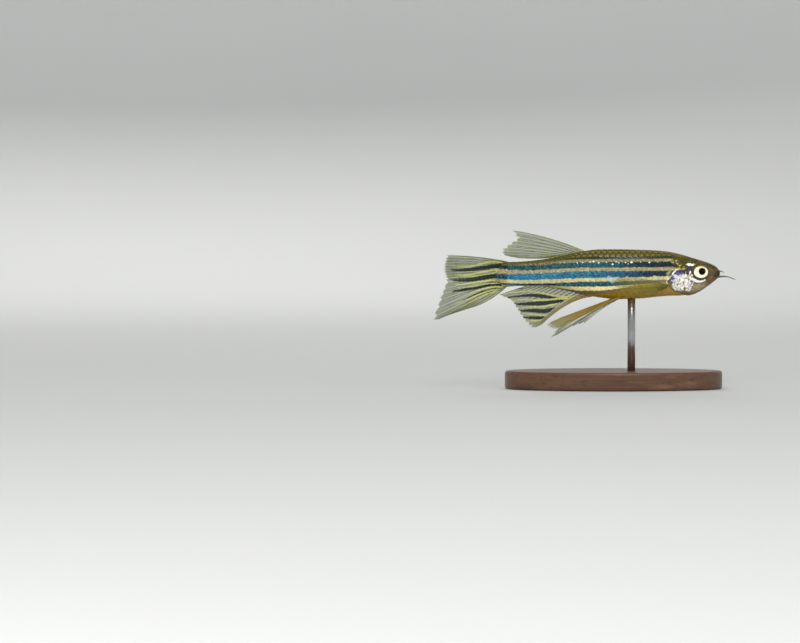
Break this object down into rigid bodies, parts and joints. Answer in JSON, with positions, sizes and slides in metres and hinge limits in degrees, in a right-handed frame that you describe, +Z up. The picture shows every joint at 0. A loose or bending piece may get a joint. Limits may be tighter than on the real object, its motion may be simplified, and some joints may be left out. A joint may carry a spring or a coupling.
{
  "type": "longfin zebra danio on a display stand",
  "caption": "Life-size zebra danio with long fins, barbels and blue and gold stripes, swimming level, held over a flat oval base by a thin rod.",
  "frame": {"origin": "middle of the underside of the stand's base", "axes": "+X towards the fish's snout, +Y to the fish's left, +Z up"},
  "size_m": [0.05, 0.018, 0.0262],
  "materials": {
    "skin_head": "wet skin, olive above and silvery below",
    "gill_silver": "silvery plate with a violet sheen",
    "skin_body": "small wet scales with blue and gold stripes",
    "fin_olive": "thin see-through membrane on fine rays",
    "fin_striped": "thin membrane with yellow-green and dark stripes",
    "fin_gold": "thin membrane on golden rays",
    "fin_clear": "clear membrane on fine rays",
    "eye": "pale iris and black pupil under a clear cornea",
    "feeler": "wet skin",
    "stand_wood": "dark satin wood",
    "stand_steel": "satin steel"
  },
  "bodies": {
    "root": {"head": "skin_head", "lower_jaw": "skin_head", "gill_cover_left": "gill_silver", "gill_cover_right": "gill_silver", "eye_left": "eye", "eye_right": "eye", "trunk": "skin_body", "tail": "skin_body", "dorsal_fin": "fin_olive", "anal_fin": "fin_striped", "caudal_fin_upper": "fin_striped", "caudal_fin_lower": "fin_striped", "pectoral_fin_left": "fin_clear", "pectoral_fin_right": "fin_clear", "pelvic_fin_left": "fin_clear", "pelvic_fin_right": "fin_gold", "barbel_maxillary_left": "feeler", "barbel_maxillary_right": "feeler", "barbel_rostral_left": "feeler", "barbel_rostral_right": "feeler", "stand_base": "stand_wood", "stand_rod": "stand_steel"}
  },
  "joints": []
}
